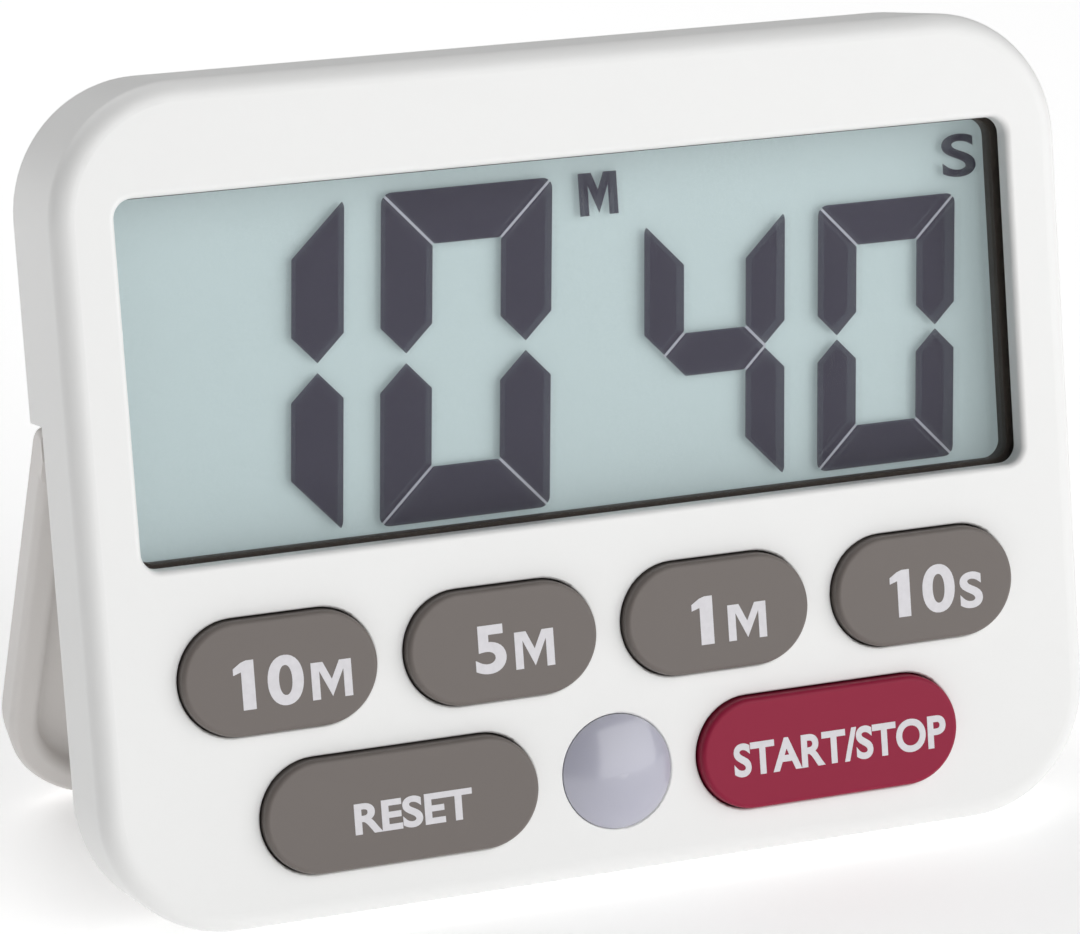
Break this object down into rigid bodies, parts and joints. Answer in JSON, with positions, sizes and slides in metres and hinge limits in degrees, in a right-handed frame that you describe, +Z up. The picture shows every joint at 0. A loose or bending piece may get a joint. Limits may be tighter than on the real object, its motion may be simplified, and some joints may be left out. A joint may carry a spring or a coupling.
{
  "type": "kitchen timer",
  "caption": "Digital countdown kitchen timer with a large display window, raised press keys, a signal lens, magnets and a fold-out stand along its back.",
  "frame": {"origin": "middle of the footprint on the table, centre of the overall box in X and Y, at its lowest point", "axes": "+X along the timer's width to the user's right, -Y towards the user, +Z up; the face leans back about 13 degrees"},
  "size_m": [0.103, 0.0434, 0.0802],
  "materials": {
    "white_shell": "satin white ABS",
    "clear_sheet": "clear acrylic",
    "black_foam": "matt black",
    "display_glass": "clear glass",
    "reflector_foil": "grey-green foil",
    "board_green": "solder mask",
    "screw_steel": "zinc plated",
    "silicone_grey": "silicone",
    "grey_key": "satin taupe grey",
    "red_key": "satin dark red",
    "milky_lens": "translucent white",
    "lamp_body": "lamp package",
    "nickel_plate": "nickel plated",
    "black_epoxy": "black epoxy",
    "ceramic_tan": "fired ceramic",
    "spring_steel": "spring steel",
    "brass_disc": "rolled brass",
    "black_plastic": "matt black"
  },
  "bodies": {
    "case": {"front_case": "white_shell", "rear_cover": "white_shell", "case_screws": "screw_steel", "display_window": "clear_sheet", "signal_lens": "milky_lens", "magnets": "nickel_plate", "lcd_gasket": "black_foam", "lcd_panel": "display_glass", "lcd_reflector": "reflector_foil", "zebra_strip": "black_foam", "circuit_board": "board_green", "board_screws": "screw_steel", "keypad_membrane": "silicone_grey", "controller_chip": "black_epoxy", "quartz_crystal": "nickel_plate", "board_capacitors": "ceramic_tan", "signal_led": "lamp_body", "coin_cell": "nickel_plate", "battery_contact_negative": "spring_steel", "battery_contact_positive": "spring_steel", "piezo_disc": "brass_disc", "piezo_springs": "spring_steel", "selector_body": "nickel_plate"},
    "stand": {"stand": "white_shell"},
    "battery_door": {"battery_door": "white_shell"},
    "selector_knob": {"selector_knob": "black_plastic"},
    "key_10_minutes": {"key_10_minutes": "grey_key"},
    "key_5_minutes": {"key_5_minutes": "grey_key"},
    "key_1_minute": {"key_1_minute": "grey_key"},
    "key_10_seconds": {"key_10_seconds": "grey_key"},
    "key_reset": {"key_reset": "grey_key"},
    "key_start_stop": {"key_start_stop": "red_key"}
  },
  "joints": [
    {"name": "stand_hinge", "type": "hinge", "parent": "case", "child": "stand", "pos_m": [0, 0.00057, 0.04397], "axis": [1, 0, 0], "range_deg": [-36.5, 0]},
    {"name": "key_10_minutes_press", "type": "slide", "parent": "case", "child": "key_10_minutes", "axis": [0, 0.9742, -0.2258], "range_m": [0, 0.0008], "stiffness_N_per_m": 1800},
    {"name": "key_5_minutes_press", "type": "slide", "parent": "case", "child": "key_5_minutes", "axis": [0, 0.9742, -0.2258], "range_m": [0, 0.0008], "stiffness_N_per_m": 1800},
    {"name": "key_1_minute_press", "type": "slide", "parent": "case", "child": "key_1_minute", "axis": [0, 0.9742, -0.2258], "range_m": [0, 0.0008], "stiffness_N_per_m": 1800},
    {"name": "key_10_seconds_press", "type": "slide", "parent": "case", "child": "key_10_seconds", "axis": [0, 0.9742, -0.2258], "range_m": [0, 0.0008], "stiffness_N_per_m": 1800},
    {"name": "key_reset_press", "type": "slide", "parent": "case", "child": "key_reset", "axis": [0, 0.9742, -0.2258], "range_m": [0, 0.0008], "stiffness_N_per_m": 1800},
    {"name": "key_start_stop_press", "type": "slide", "parent": "case", "child": "key_start_stop", "axis": [0, 0.9742, -0.2258], "range_m": [0, 0.0008], "stiffness_N_per_m": 1800},
    {"name": "battery_door_turn", "type": "hinge", "parent": "case", "child": "battery_door", "pos_m": [-0.017, 0.00741, 0.06153], "axis": [0, 0.9742, -0.2258], "range_deg": [0, 60]},
    {"name": "selector_slide", "type": "slide", "parent": "case", "child": "selector_knob", "axis": [1, 0, 0], "range_m": [-0.0015, 0.0015]}
  ]
}
